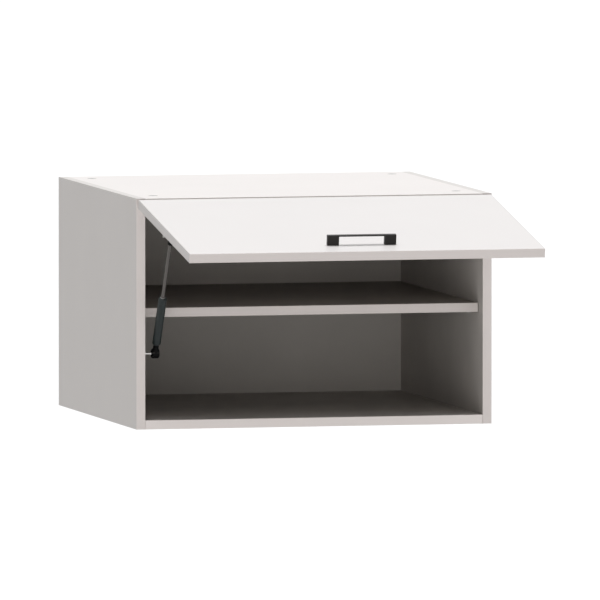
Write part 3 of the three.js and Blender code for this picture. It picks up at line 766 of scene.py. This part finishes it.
def wall_hanger(name):
    """A moulded casing, open at the rear for its hook, with two adjusting screws at its front."""
    node = "hanger_casing_" + name
    low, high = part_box(node)
    wall, spare = 2 * MM, CUTTER_SPARE
    x, top, base = (low.x + high.x) / 2, high.z, low.z
    shell = rounded(block(low, high), 0.8 * MM)
    hollow = block((low.x + wall, low.y + wall, base + wall), (high.x - wall, high.y + spare, top - wall))
    heights = [base + 15 * MM, base + 37 * MM]
    access, groove = 3.6 * MM, 0.5 * MM
    stations = (8 * MM, 12 * MM, 16 * MM)
    holes = [moved(rod(access, -wall - spare, spare, SMALL_SIDES), at(x, low.y, z) @ TURN_OVER)
             for z in heights]
    inner_face, into = (low.x, 1) if x > 0 else (high.x, -1)
    near, far = sorted((inner_face - into * spare, inner_face + into * groove))
    grooves = [block((near, low.y + station, base - spare), (far, low.y + station + MM, top + spare))
               for station in stations]
    show(cut(shell, [hollow, *holes, *grooves]), WHITE_PLASTIC, node)
    adjusters = []
    shank_radius, shank_length, head_start, shank_start = 2 * MM, 6.2 * MM, 6 * MM, 8.4 * MM
    for z in heights:
        head = moved(screw_head(3.2 * MM, 1.4 * MM), at(0, head_start, 0))
        shank = rod(shank_radius, 0, shank_length, SMALL_SIDES)
        adjusters.append(moved(join(shank, [head]), at(x, low.y + shank_start, z) @ TURN_OVER))
    show(gathered(adjusters), ZINC, node, "hanger_screws_" + name)


def wall_hook(name):
    """A flat hook that reaches out behind its casing, with its nose turned up."""
    node = "hanger_hook_" + name
    low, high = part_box(node)
    nose, body, hole = 2.5 * MM, 18 * MM, 2.2 * MM
    outline = softened([(low.y, low.z), (high.y, low.z), (high.y, high.z), (high.y - nose, high.z),
                        (high.y - nose, low.z + body), (low.y, low.z + body)], 0.9 * MM)
    hook = rounded(plate(outline, low.x, high.x), 0.2 * MM)
    spare = CUTTER_SPARE
    holes = [moved(rod(hole, low.x - spare, high.x + spare, SMALL_SIDES),
                   at(0, low.y + reach, low.z + body / 2) @ ALONG_X[1]) for reach in (8 * MM, 20 * MM)]
    show(cut(hook, holes), ZINC, node)


def back_nails():
    """Small flush nail heads round the edge of the hardboard."""
    low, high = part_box("back_panel")
    inset, radius, length = 6 * MM, 1.3 * MM, 2 * MM
    columns, rows = 6, 4
    places = set()
    for column in range(columns):
        x = low.x + inset + (high.x - low.x - 2 * inset) * column / (columns - 1)
        places |= {(round(x, 6), low.z + inset), (round(x, 6), high.z - inset)}
    for row in range(1, rows):
        z = low.z + inset + (high.z - low.z - 2 * inset) * row / rows
        places |= {(low.x + inset, round(z, 6)), (high.x - inset, round(z, 6))}
    profile = [(0, -length), (0.4 * radius, -length), (0.4 * radius, -0.5 * MM), (radius, -0.3 * MM),
               (radius, -0.05 * MM), (0.8 * radius, 0), (0, 0)]
    heads = [moved(turned(profile, SMALL_SIDES), at(x, high.y, z)) for x, z in sorted(places)]
    show(gathered(heads), ZINC, "back_panel", "back_nails")


# -------------------------------- hinges

PIN_RADIUS = 1.3 * MM
CHEEK_HALF = 4.6 * MM


def hinge_arm(name):
    """The gooseneck: an eye on the pin, a neck that dips into the cup and a long arm with two screws."""
    node = "hinge_arm_" + name
    low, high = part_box(node)
    x, half = (low.x + high.x) / 2, (high.x - low.x) / 2
    eye, under, rear = high.z - PIVOT.z, low.z - PIVOT.z, high.y - PIVOT.y
    throat, seat = -9.6 * MM, -8.7 * MM
    nose, neck_end, arm_start, panel_start = 2.3 * MM, 17.2 * MM, 29.2 * MM, 26 * MM
    outline = softened([(-eye, 0), (-eye, under), (rear, under), (rear, seat), (arm_start, seat),
                        (neck_end, throat), (nose, throat), (nose, 0)], 1.4 * MM)
    arm = rounded(plate(outline, -half, half), 0.5 * MM)
    arm = join(arm, [moved(rod(eye, -half, half), ALONG_X[1])])
    spare = CUTTER_SPARE
    stations = (rear - 30 * MM, rear - 12 * MM)
    bed, bed_radius, panel_depth, panel_margin = 1.5 * MM, 2.9 * MM, 0.4 * MM, 2 * MM
    tools = [moved(rod(PIN_RADIUS + 0.2 * MM, -half - spare, half + spare), ALONG_X[1])]
    tools += [moved(rod(bed_radius, -spare, bed, SMALL_SIDES), at(0, y, under) @ ALONG_Z[1])
              for y in stations]
    tools += [block((side * half - panel_depth, panel_start, under + panel_margin),
                    (side * half + panel_depth, rear - 2 * panel_margin, seat - panel_margin))
              for side in (-1, 1)]
    place = at(x, PIVOT.y, PIVOT.z)
    show(moved(cut(arm, tools), place), NICKEL, node)
    screws("hinge_arm_screws_" + name, node, (2.5 * MM, 1.1 * MM),
           [place @ at(0, y, under + bed) @ ALONG_Z[-1] for y in stations])


def hinge_plate(name):
    """A mounting plate under the top panel, held by a screw through each ear."""
    node = "hinge_plate_" + name
    low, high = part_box(node)
    middle, half, ear_inset, screw_inset = (low + high) / 2, 9 * MM, 9 * MM, 4.5 * MM
    base = softened(rectangle((middle.x - half, low.y), (middle.x + half, high.y)), 2.5 * MM)
    ears = softened(rectangle((low.x, low.y + ear_inset), (high.x, high.y - ear_inset)), 5 * MM)
    ear_face = low.z + MM
    body = join(plate(base, low.z, high.z, (0, 1)), [plate(ears, ear_face, high.z, (0, 1))])
    show(rounded(body, 0.3 * MM), NICKEL, node)
    screws("hinge_plate_screws_" + name, node, (3.2 * MM, 1.5 * MM),
           [at(x, middle.y, ear_face) @ ALONG_Z[-1] for x in (low.x + screw_inset, high.x - screw_inset)])


def hinge_cup(name):
    """A pressed cup in the door with a flange, two screwed wings and the cheeks that hold the pin."""
    node = "hinge_cup_" + name
    low, high = local_box(node, DOOR)
    x, radius, wall, lap = (low.x + high.x) / 2, CUP_RADIUS, 0.8 * MM, 0.1 * MM
    flange_top = high.y - DOOR_INNER
    flange_bottom, depth = flange_top - MM, DOOR_INNER - low.y
    shell = turned([(0, -depth), (radius - 1.5 * MM, -depth), (radius - 0.4 * MM, 0.5 * MM - depth),
                    (radius, 1.5 * MM - depth), (radius, flange_bottom), (0, flange_bottom)])
    wing_outline = softened(rectangle((low.x - x, -radius), (high.x - x, 2 * MM)), 5 * MM)
    wings = plate(wing_outline, flange_bottom - lap, flange_top, (0, 2))
    body = join(shell, [rod(CUP_RIM, flange_bottom - lap, flange_top), wings])
    well = rod(radius - wall, wall - depth, flange_top + CUTTER_SPARE)
    cheek_base = PIVOT_FROM_CUP - 3 * MM
    cheeks = [block((min(side * CHEEK_HALF, side * radius), -radius, cheek_base),
                    (max(side * CHEEK_HALF, side * radius), radius, radius)) for side in (-1, 1)]
    pin_reach = 7.2 * MM
    pin_hole = rod(PIN_RADIUS + 0.15 * MM, -pin_reach, pin_reach, SMALL_SIDES)
    pin_hole = moved(pin_hole, at(0, -DOOR_INNER, PIVOT_FROM_CUP) @ ALONG_X[1])
    body = rounded(cut(body, [cut(well, cheeks), pin_hole]), 0.2 * MM, math.radians(50))
    place = DOOR @ at(x, DOOR_INNER, CUP_Z)
    show(moved(body, place), NICKEL, node)
    screw_x, screw_z = 22.3 * MM, -7.7 * MM
    screws("hinge_cup_screws_" + name, node, (3.0 * MM, 1.1 * MM),
           [place @ at(side * screw_x, flange_top, screw_z) for side in (-1, 1)])


def hinge_pin(name):
    node = "hinge_pin_" + name
    low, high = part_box(node)
    half = (high.x - low.x) / 2
    pin = turned([(0, -half), *chamfered(PIN_RADIUS, -half, half, 0.3 * MM), (0, half)], SMALL_SIDES)
    show(moved(pin, at(centre_of(node).x, PIVOT.y, PIVOT.z) @ ALONG_X[1]), NICKEL, node)


# -------------------------------- handle and bumpers

def handle():
    """A thin flat bar on two square feet."""
    low, high = local_box("handle", DOOR)
    foot, bar, spare, bore_depth = 19 * MM, 2 * MM, 0.01 * MM, 11 * MM
    grip = block(low, (high.x, low.y + bar, high.z))
    feet = [block((start + spare, low.y + spare, low.z + spare), (start + foot, high.y, high.z - spare))
            for start in (low.x, high.x - foot - 2 * spare)]
    body = rounded(join(grip, feet), 0.5 * MM)
    holes = []
    for side in SIDES:
        screw = local_centre("handle_screw_" + side, DOOR)
        hole = rod(HANDLE_BORE, high.y - bore_depth, high.y + CUTTER_SPARE, SMALL_SIDES)
        holes.append(moved(hole, at(screw.x, 0, screw.z)))
    show(moved(cut(body, holes), DOOR), BLACK_COAT, "handle")


def handle_screw(name):
    node = "handle_screw_" + name
    low, high = local_box(node, DOOR)
    x, z = (low.x + high.x) / 2, (low.z + high.z) / 2
    head, shank, root, pitch = (high.x - low.x) / 2, 2 * MM, 1.7 * MM, 0.8 * MM
    face, threaded = DOOR_INNER + FIT_GAP, low.y + 12 * MM
    shaft_end = face + 0.1 * MM
    shaft = turned([(0, low.y), *thread(shank, root, low.y + 0.2 * MM, threaded, pitch),
                    (shank, threaded), (shank, shaft_end), (0, shaft_end)], SMALL_SIDES)
    crown = moved(screw_head(head, high.y - face), at(0, face, 0))
    show(moved(join(shaft, [crown]), DOOR @ at(x, 0, z)), NICKEL, node)


def door_bumper(name):
    """A clear domed pad."""
    node = "door_bumper_" + name
    low, high = local_box(node, DOOR)
    radius, height = (high.x - low.x) / 2, high.y - low.y
    skirt = 0.25 * height
    pad = turned([(0, 0), (radius, 0), *dome(radius, skirt, height, 8), (0, height)], SMALL_SIDES)
    show(moved(pad, DOOR @ at((low.x + high.x) / 2, low.y, (low.z + high.z) / 2)), CLEAR, node)


# -------------------------------- gas strut

BALL_RADIUS = 4 * MM
NECK_RADIUS = 1.6 * MM
COLLAR_RADIUS = 2.8 * MM
COLLAR_END = 7.2 * MM
SOCKET_HALF = 6.5 * MM
SOCKET_RADIUS = 8 * MM
SOCKET_CHAMFER = 1.8 * MM
SOCKET_NECK = 18.2 * MM
CLIP_ANGLE = math.radians(41)
CLIP_LEG_END = 4.8 * MM
ROD_RADIUS = 3 * MM


def ball_profile(start):
    """A ball round the origin on a neck that begins at station -start."""
    steps = 20
    first = math.asin(NECK_RADIUS / BALL_RADIUS)
    points = [(0, -start), (NECK_RADIUS, -start)]
    for step in range(steps):
        turn = first + (math.pi - first) * step / steps
        points.append((BALL_RADIUS * math.sin(turn), -BALL_RADIUS * math.cos(turn)))
    return points + [(0, BALL_RADIUS)]


def collar_points(start, end):
    return chamfered(COLLAR_RADIUS, start, end, 0.4 * MM)


def side_stud():
    """A screwed foot on the side panel with a short stem and a collar next to the socket."""
    node = "strut_side_stud"
    low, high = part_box(node)
    foot_thickness, collar_length, screw_rise = 2 * MM, 2 * MM, 11.5 * MM
    foot_face = low.x + foot_thickness
    foot = plate(softened(rectangle((low.y, low.z), (high.y, high.z)), 5 * MM), low.x, foot_face)
    foot = rounded(foot, 0.4 * MM)
    root, tip = low.x + MM - STRUT_FOOT.x, high.x - STRUT_FOOT.x
    collar_start = tip - collar_length
    stem = turned([(0, root), (NECK_RADIUS, root), (NECK_RADIUS, collar_start),
                   *collar_points(collar_start, tip), (0, tip)])
    show(join(foot, [moved(stem, at(*STRUT_FOOT) @ ALONG_X[1])]), NICKEL, node)
    screws("strut_stud_screws", node, (3 * MM, 1.4 * MM),
           [at(foot_face, STRUT_FOOT.y, STRUT_FOOT.z + side * screw_rise) @ ALONG_X[1] for side in (-1, 1)])


def ball_socket(node, name, place):
    """A moulded ball socket: a rounded barrel with a seam, a stepped neck and a wire safety clip."""
    half, radius = SOCKET_HALF, SOCKET_RADIUS
    barrel = turned([(0, -half), *chamfered(radius, -half, half, SOCKET_CHAMFER), (0, half)])
    barrel = rounded(barrel, 0.5 * MM)
    shoulder, waist, bevel = 6.6 * MM, 4.5 * MM, 0.4 * MM
    neck = turned([(0, MM), (shoulder, MM), (shoulder, 6 * MM), (shoulder - bevel, 6.9 * MM),
                   (waist + 0.3 * MM, 9.6 * MM), (waist, 10.4 * MM), (waist, SOCKET_NECK - bevel),
                   (waist - bevel, SOCKET_NECK), (0, SOCKET_NECK)])
    body = join(moved(barrel, ALONG_X[1]), [neck])
    gap, groove = FIT_GAP, 0.45 * MM
    mouth = moved(rod(BALL_RADIUS + gap, -half - CUTTER_SPARE, BALL_RADIUS + gap), ALONG_X[1])
    core = radius - groove
    seam = cut(block((-2 * half, -gap, -2 * radius), (2 * half, gap, 2 * radius)),
               [block((-2 * half, -radius, -core), (half - groove, radius, core))])
    body = rounded(cut(body, [mouth, seam]), 0.15 * MM, math.radians(50))
    show(moved(body, place), BLACK_PLASTIC, node)
    show(moved(safety_clip(), place), ROD_STEEL, node, name)


def safety_clip():
    """A sprung wire over the socket's barrel, parallel to the ball's stud, with a leg down each end face."""
    wire = 0.3 * MM
    sunk = wire / 3
    half, radius = SOCKET_HALF + sunk, SOCKET_RADIUS + sunk
    corners = [(-half, CLIP_LEG_END), (-half, radius), (half, radius), (half, CLIP_LEG_END)]
    bends = softened(corners, 2 * MM)
    each = len(bends) // len(corners)
    outline = [Vector(corners[0]), *bends[each:-each], Vector(corners[-1])]
    outward = Vector((0, math.sin(CLIP_ANGLE), math.cos(CLIP_ANGLE)))
    path = [Vector((x, 0, 0)) + reach * outward for x, reach in outline]
    return tube(path, wire, outward.cross(Vector((1, 0, 0))))


def tube(path, radius, side, sides=12):
    """A round wire along a flat path, closed at both ends; side is square to the path's plane."""
    work = bmesh.new()
    rings = []
    for index, point in enumerate(path):
        along = (path[min(index + 1, len(path) - 1)] - path[max(index - 1, 0)]).normalized()
        up = along.cross(side)
        turns = [2 * math.pi * step / sides for step in range(sides)]
        places = [point + radius * (math.cos(turn) * side + math.sin(turn) * up) for turn in turns]
        rings.append([work.verts.new(place) for place in places])
    for first, second in zip(rings, rings[1:]):
        for step in range(sides):
            following = (step + 1) % sides
            work.faces.new((first[step], first[following], second[following], second[step]))
    work.faces.new(rings[0])
    work.faces.new(rings[-1])
    return object_from(work)


def strut_cylinder():
    """An enamelled pressure tube, drawn in at both ends and rolled into a groove near the gland."""
    node = "strut_cylinder"
    low, high = local_box(node, STRUT)
    start, end, radius = low.y, high.y, (high.x - low.x) / 2
    groove = end - 12 * MM
    closed_end = [(-2.2, 0), (-0.9, 0.6), (-0.2, 1.6), (0, 3)]
    rolled_groove = [(0, -1.6), (-0.35, -0.8), (-0.55, 0), (-0.35, 0.8), (0, 1.6)]
    gland_end = [(0, -3.4), (-0.25, -2), (-0.9, -0.8), (-2, -0.1), (-2.6, 0)]
    profile = [(0, start)]
    for station, stretch in ((start, closed_end), (groove, rolled_groove), (end, gland_end)):
        profile += [(radius + inset * MM, station + reach * MM) for inset, reach in stretch]
    shell = turned([*profile, (0, end)])
    wall, base, gland_length = 1.2 * MM, 3.5 * MM, 3 * MM
    bore = rod(radius - wall, start + base, end - gland_length)
    gland = rod(ROD_RADIUS + FIT_GAP, end - gland_length - MM, end + CUTTER_SPARE)
    show(moved(cut(shell, [bore, gland]), STRUT), ENAMEL, node)
    lip, reach, bevel = 4.3 * MM, 0.4 * MM, 0.4 * MM
    ring = turned([(0, end - MM), (lip, end - MM), (lip, end + reach - bevel), (lip - bevel, end + reach),
                   (0, end + reach)])
    hole = rod(ROD_RADIUS + 0.2 * MM, end - 2 * MM, end + 2 * MM)
    show(moved(cut(ring, [hole]), STRUT), ZINC, node, "strut_gland_ring")


def strut_rod():
    node = "strut_rod"
    low, high = local_box(node, STRUT)
    start, end, radius = low.y, high.y, (high.x - low.x) / 2
    piston_end = start + 3 * MM
    body = turned([(0, start), *chamfered(radius, start, piston_end, 0.4 * MM), (ROD_RADIUS, piston_end),
                   (ROD_RADIUS, end), (0, end)])
    show(moved(body, STRUT), ROD_STEEL, node)


def lower_ball():
    node = "strut_lower_ball"
    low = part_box(node)[0]
    ball = turned(ball_profile(STRUT_FOOT.x - low.x))
    show(moved(ball, at(*STRUT_FOOT) @ ALONG_X[1]), NICKEL, node)


def door_bracket():
    """A screwed foot on the door, an upright ear and the ball stud that the ear carries."""
    node = "strut_door_bracket"
    low, high = local_box(node, DOOR)
    foot_thickness, ear_thickness, ball_reach, screw_rise = 2 * MM, 2 * MM, 20.5 * MM, 12 * MM
    foot_face, ball_y, z = low.y + foot_thickness, DOOR_INNER + ball_reach, (low.z + high.z) / 2
    foot = plate(softened(rectangle((low.x, low.z), (high.x, high.z)), 4 * MM), low.y, foot_face, (0, 2))
    root, tip, waist_y = 9 * MM, 3 * MM, ball_y - 3 * MM
    ear_outline = softened([(low.y, z - root), (waist_y, z - tip), (high.y, z - tip),
                            (high.y, z + tip), (waist_y, z + tip), (low.y, z + root)], 1.8 * MM)
    body = rounded(join(foot, [plate(ear_outline, low.x, low.x + ear_thickness)]), 0.3 * MM)
    x = STRUT_TOP.x
    collar_start = low.x + MM - x
    lap = 0.1 * MM
    stud = turned([(0, collar_start), *collar_points(collar_start, -COLLAR_END),
                   *ball_profile(COLLAR_END - lap)[1:]])
    body = join(body, [moved(stud, at(x, ball_y, z) @ ALONG_X[1])])
    show(moved(body, DOOR), BRACKET_STEEL, node)
    screws("strut_bracket_screws", node, (3.2 * MM, 1.5 * MM),
           [DOOR @ at(x + 2 * MM, foot_face, z + side * screw_rise) for side in (-1, 1)])


for side_name, side_sign in SIDES.items():
    for level_name, level_sign in LEVELS.items():
        for row_name in ROWS:
            cam(f"{level_name}_{side_name}_{row_name}", level_sign, side_sign)
            cam_bolt(f"{level_name}_{side_name}_{row_name}", side_sign)
    for row_name in ROWS:
        shelf_pin(f"{side_name}_{row_name}", side_sign)
    wall_hanger(side_name)
    wall_hook(side_name)
    hinge_arm(side_name)
    hinge_plate(side_name)
    hinge_cup(side_name)
    hinge_pin(side_name)
    handle_screw(side_name)
    door_bumper(side_name)
back_nails()
handle()
side_stud()
lower_ball()
ball_socket("strut_lower_socket", "strut_lower_clip", STRUT)
ball_socket("strut_upper_socket", "strut_upper_clip", STRUT @ at(0, STRUT_LINE.length, 0) @ TURN_OVER)
strut_cylinder()
strut_rod()
door_bracket()


# -------------------------------- floor, light and camera

FLOOR_Z = -1.35
FLOOR_SIZE = 400.0
AMBIENT = 0.12
STUDIO_WHITE = 1.05
CAMERA_AZIMUTH = math.radians(-13.394)
CAMERA_ELEVATION = math.radians(3.943)
CAMERA_DISTANCE = 45.67
CAMERA_TARGET = Vector((0.0339, -0.0422, 0.1917))
FRAME_WIDTH = 0.991
SENSOR = 36.0
CLIP_END = 300.0


def floor():
    half = FLOOR_SIZE / 2
    work = bmesh.new()
    corners = rectangle((-half, -half), (half, half))
    work.faces.new([work.verts.new((x, y, FLOOR_Z)) for x, y in corners])
    piece = object_from(work)
    piece.name = "floor"
    finish = Finish("pale_floor", None, Roughness=0.9)
    grain = finish.noise(3.0)
    finish.colour(finish.ramp(grain, [(0.3, (0.755, 0.745, 0.74)), (0.7, (0.765, 0.755, 0.75))]))
    piece.data.materials.append(finish.material)
    piece.visible_shadow = False


def sun(name, energy, softness, azimuth, elevation, color):
    """A soft sun that shines from a direction: azimuth 0 is in front of the cabinet."""
    light = bpy.data.lights.new(name, "SUN")
    light.energy = energy
    light.angle = math.radians(softness)
    light.color = color
    lamp = bpy.data.objects.new(name, light)
    bpy.context.scene.collection.objects.link(lamp)
    turn, rise = math.radians(azimuth), math.radians(elevation)
    source = Vector((math.sin(turn) * math.cos(rise), -math.cos(turn) * math.cos(rise), math.sin(rise)))
    lamp.rotation_mode = "QUATERNION"
    lamp.rotation_quaternion = source.to_track_quat("Z", "Y")


def world():
    """Dim even light all round, and a white studio for the camera and for reflections."""
    made = bpy.data.worlds.new("studio")
    bpy.context.scene.world = made
    made.use_nodes = True
    nodes, links = made.node_tree.nodes, made.node_tree.links
    backdrop, path = nodes["Background"], nodes.new("ShaderNodeLightPath")
    backdrop.inputs["Color"].default_value = (1, 1, 1, 1)
    seen = nodes.new("ShaderNodeMath")
    seen.operation = "MAXIMUM"
    links.new(path.outputs["Is Camera Ray"], seen.inputs[0])
    links.new(path.outputs["Is Glossy Ray"], seen.inputs[1])
    strength = nodes.new("ShaderNodeMapRange")
    strength.inputs["To Min"].default_value = AMBIENT
    strength.inputs["To Max"].default_value = STUDIO_WHITE
    links.new(seen.outputs[0], strength.inputs["Value"])
    links.new(strength.outputs["Result"], backdrop.inputs["Strength"])


def camera():
    data = bpy.data.cameras.new("camera")
    data.sensor_width = SENSOR
    data.lens = SENSOR * CAMERA_DISTANCE / FRAME_WIDTH
    data.clip_end = CLIP_END
    view = bpy.data.objects.new("camera", data)
    bpy.context.scene.collection.objects.link(view)
    back = Vector((math.sin(CAMERA_AZIMUTH) * math.cos(CAMERA_ELEVATION),
                   -math.cos(CAMERA_AZIMUTH) * math.cos(CAMERA_ELEVATION), math.sin(CAMERA_ELEVATION)))
    view.location = CAMERA_TARGET + back * CAMERA_DISTANCE
    view.rotation_mode = "QUATERNION"
    view.rotation_quaternion = back.to_track_quat("Z", "Y")
    bpy.context.scene.camera = view


floor()
sun("top_light", energy=4.1, softness=46, azimuth=0, elevation=89, color=(0.965, 0.985, 1.0))
sun("front_light", energy=0.76, softness=40, azimuth=-14, elevation=-5, color=(1.0, 0.985, 0.97))
world()
camera()
bpy.context.scene.view_settings.view_transform = "Standard"
